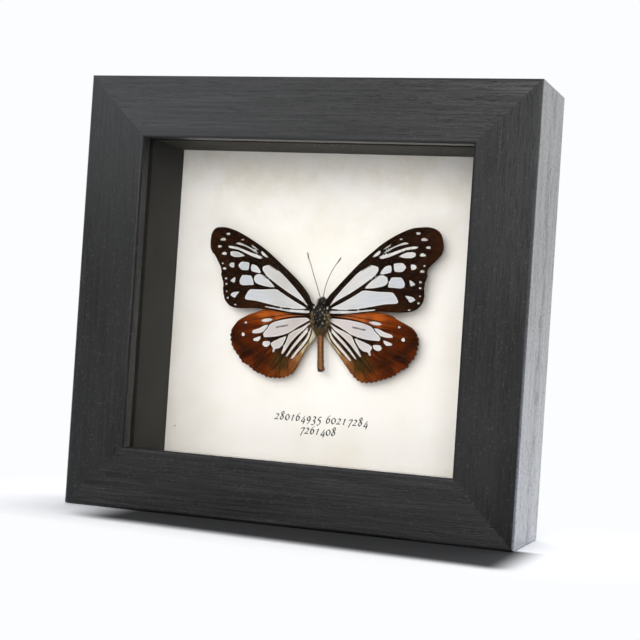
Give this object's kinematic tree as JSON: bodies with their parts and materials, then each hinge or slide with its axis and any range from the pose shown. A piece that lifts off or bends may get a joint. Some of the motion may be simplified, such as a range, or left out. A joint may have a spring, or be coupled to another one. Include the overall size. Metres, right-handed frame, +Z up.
{
  "type": "butterfly display case",
  "caption": "Black mitred wooden box frame with a glass front and a cream card carrying a spread brown, black and pale blue butterfly over a small printed number label.",
  "frame": {"origin": "the centre of the wooden frame's bottom face, which the case stands on", "axes": "+X to the right as seen from the glass front, +Y from the glass front into the case towards its back panel, +Z up along the frame's height"},
  "size_m": [0.15, 0.0387, 0.141],
  "materials": {
    "black_stained_wood": "thin black stain over open grain",
    "black_spacer_strip": "thin black stain over open grain",
    "clear_glass": "clear and polished",
    "cream_card": "matte",
    "brown_hardboard": "matte, pressed fibre",
    "bare_steel": "bright plated steel",
    "plated_buttons": "bright plated steel",
    "plated_screws": "bright plated steel",
    "cream_cork": "matte foam",
    "black_scaled_body": "fine hair and scales",
    "brown_abdomen": "dry, satin",
    "dark_eyes": "glossy",
    "black_antenna": "satin",
    "forewing_scales": "matte",
    "hindwing_scales": "matte"
  },
  "bodies": {
    "case": {"top_rail": "black_stained_wood", "bottom_rail": "black_stained_wood", "left_rail": "black_stained_wood", "right_rail": "black_stained_wood", "corner_v_nails": "bare_steel", "glass_pane": "clear_glass", "top_spacer": "black_spacer_strip", "bottom_spacer": "black_spacer_strip", "left_spacer": "black_spacer_strip", "right_spacer": "black_spacer_strip", "mount_card": "cream_card", "back_panel": "brown_hardboard", "turn_button_screws": "plated_screws", "sawtooth_hanger": "bare_steel", "hanger_nails": "bare_steel", "riser_pad": "cream_cork", "thorax": "black_scaled_body", "abdomen": "brown_abdomen", "head": "black_scaled_body", "compound_eyes": "dark_eyes", "labial_palps": "black_scaled_body", "left_antenna": "black_antenna", "right_antenna": "black_antenna", "left_forewing": "forewing_scales", "right_forewing": "forewing_scales", "left_hindwing": "hindwing_scales", "right_hindwing": "hindwing_scales"},
    "lower_left_turn_button": {"lower_left_turn_button": "plated_buttons"},
    "upper_left_turn_button": {"upper_left_turn_button": "plated_buttons"},
    "lower_right_turn_button": {"lower_right_turn_button": "plated_buttons"},
    "upper_right_turn_button": {"upper_right_turn_button": "plated_buttons"}
  },
  "joints": [
    {"name": "lower_left_turn_button_pivot", "type": "hinge", "parent": "case", "child": "lower_left_turn_button", "pos_m": [-0.068, 0.0187, 0.0355], "axis": [0, 1, 0], "continuous": true},
    {"name": "upper_left_turn_button_pivot", "type": "hinge", "parent": "case", "child": "upper_left_turn_button", "pos_m": [-0.068, 0.0187, 0.1055], "axis": [0, 1, 0], "continuous": true},
    {"name": "lower_right_turn_button_pivot", "type": "hinge", "parent": "case", "child": "lower_right_turn_button", "pos_m": [0.068, 0.0187, 0.0355], "axis": [0, 1, 0], "continuous": true},
    {"name": "upper_right_turn_button_pivot", "type": "hinge", "parent": "case", "child": "upper_right_turn_button", "pos_m": [0.068, 0.0187, 0.1055], "axis": [0, 1, 0], "continuous": true}
  ]
}
